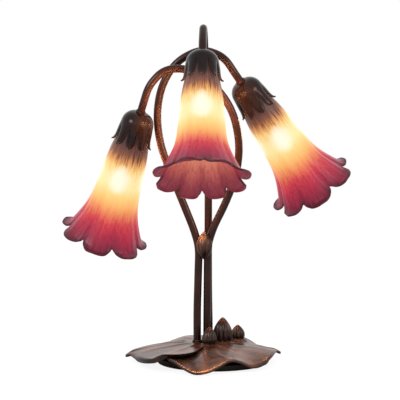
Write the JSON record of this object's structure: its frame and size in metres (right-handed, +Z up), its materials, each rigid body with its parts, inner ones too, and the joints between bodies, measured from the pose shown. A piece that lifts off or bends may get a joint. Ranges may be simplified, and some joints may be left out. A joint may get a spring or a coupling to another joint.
{
  "type": "table lamp",
  "caption": "Tulip shade table lamp: ruffled art-glass bells in petal calyxes hang from bent bronze tubes over a cast lily-leaf foot.",
  "frame": {"origin": "centre of the foot's resting face on the table", "axes": "+X to the right and +Y away as seen from the pictured front, +Z up"},
  "size_m": [0.3557, 0.2841, 0.4082],
  "materials": {
    "tube_bronze": "dark patinated bronze, satin, copper where it catches light",
    "calyx_bronze": "dark patinated bronze, satin, coppery petal edges",
    "leaf_bronze": "aged bronze on a cast leaf, satin, copper on raised edges",
    "drum_bronze": "dark bronze paint, satin",
    "bud_bronze": "aged bronze on cast buds, copper-red tips",
    "tulip_glass": "translucent art glass, amber throat to mauve rim, satin",
    "bulb_glass": "clear blown glass",
    "filament_glass": "glass mount with its tungsten filament",
    "screw_brass": "bright drawn brass",
    "socket_moulding": "moulded phenolic, matte",
    "wire_sleeve": "smooth insulation",
    "ballast_iron": "as cast",
    "plate_steel": "zinc plated",
    "felt": "pressed felt",
    "bushing_black": "black moulding, matte"
  },
  "bodies": {
    "root": {"stem_left": "tube_bronze", "stem_right": "tube_bronze", "stem_center": "tube_bronze", "calyx_left": "calyx_bronze", "calyx_right": "calyx_bronze", "calyx_center": "calyx_bronze", "socket_body_left": "socket_moulding", "socket_body_right": "socket_moulding", "socket_body_center": "socket_moulding", "socket_shell_left": "screw_brass", "socket_shell_right": "screw_brass", "socket_shell_center": "screw_brass", "socket_contact_left": "screw_brass", "socket_contact_right": "screw_brass", "socket_contact_center": "screw_brass", "stem_wire_left": "wire_sleeve", "stem_wire_right": "wire_sleeve", "stem_wire_center": "wire_sleeve", "leaf_base": "leaf_bronze", "foot_drum": "drum_bronze", "ballast_ring": "ballast_iron", "base_plate": "plate_steel", "felt_pad": "felt", "base_screws": "plate_steel", "cord_bushing": "bushing_black", "terminal_block": "socket_moulding", "bud_large": "bud_bronze", "bud_front": "bud_bronze", "bud_back": "bud_bronze", "tie_bud": "bud_bronze", "neck_collars": "tube_bronze", "neck_nipples": "plate_steel", "foot_collars": "tube_bronze", "foot_nipples": "plate_steel", "foot_washers": "plate_steel", "foot_nuts": "plate_steel"},
    "shade_left": {"shade_glass_left": "tulip_glass", "shade_ring_left": "socket_moulding"},
    "bulb_left": {"bulb_cap_left": "screw_brass", "bulb_glass_left": "bulb_glass", "bulb_filament_left": "filament_glass"},
    "shade_right": {"shade_glass_right": "tulip_glass", "shade_ring_right": "socket_moulding"},
    "bulb_right": {"bulb_cap_right": "screw_brass", "bulb_glass_right": "bulb_glass", "bulb_filament_right": "filament_glass"},
    "shade_center": {"shade_glass_center": "tulip_glass", "shade_ring_center": "socket_moulding"},
    "bulb_center": {"bulb_cap_center": "screw_brass", "bulb_glass_center": "bulb_glass", "bulb_filament_center": "filament_glass"}
  },
  "joints": [
    {"name": "shade_left_withdraw", "type": "slide", "parent": "root", "child": "shade_left", "axis": [-0.2863, 0.3343, -0.8979], "range_m": [0, 0.09]},
    {"name": "bulb_left_withdraw", "type": "slide", "parent": "root", "child": "bulb_left", "axis": [-0.2863, 0.3343, -0.8979], "range_m": [0, 0.15]},
    {"name": "shade_right_withdraw", "type": "slide", "parent": "root", "child": "shade_right", "axis": [0.5466, 0.3624, -0.7549], "range_m": [0, 0.09]},
    {"name": "bulb_right_withdraw", "type": "slide", "parent": "root", "child": "bulb_right", "axis": [0.5466, 0.3624, -0.7549], "range_m": [0, 0.15]},
    {"name": "shade_center_withdraw", "type": "slide", "parent": "root", "child": "shade_center", "axis": [-0.01, -0.446, -0.895], "range_m": [0, 0.09]},
    {"name": "bulb_center_withdraw", "type": "slide", "parent": "root", "child": "bulb_center", "axis": [-0.01, -0.446, -0.895], "range_m": [0, 0.15]}
  ]
}
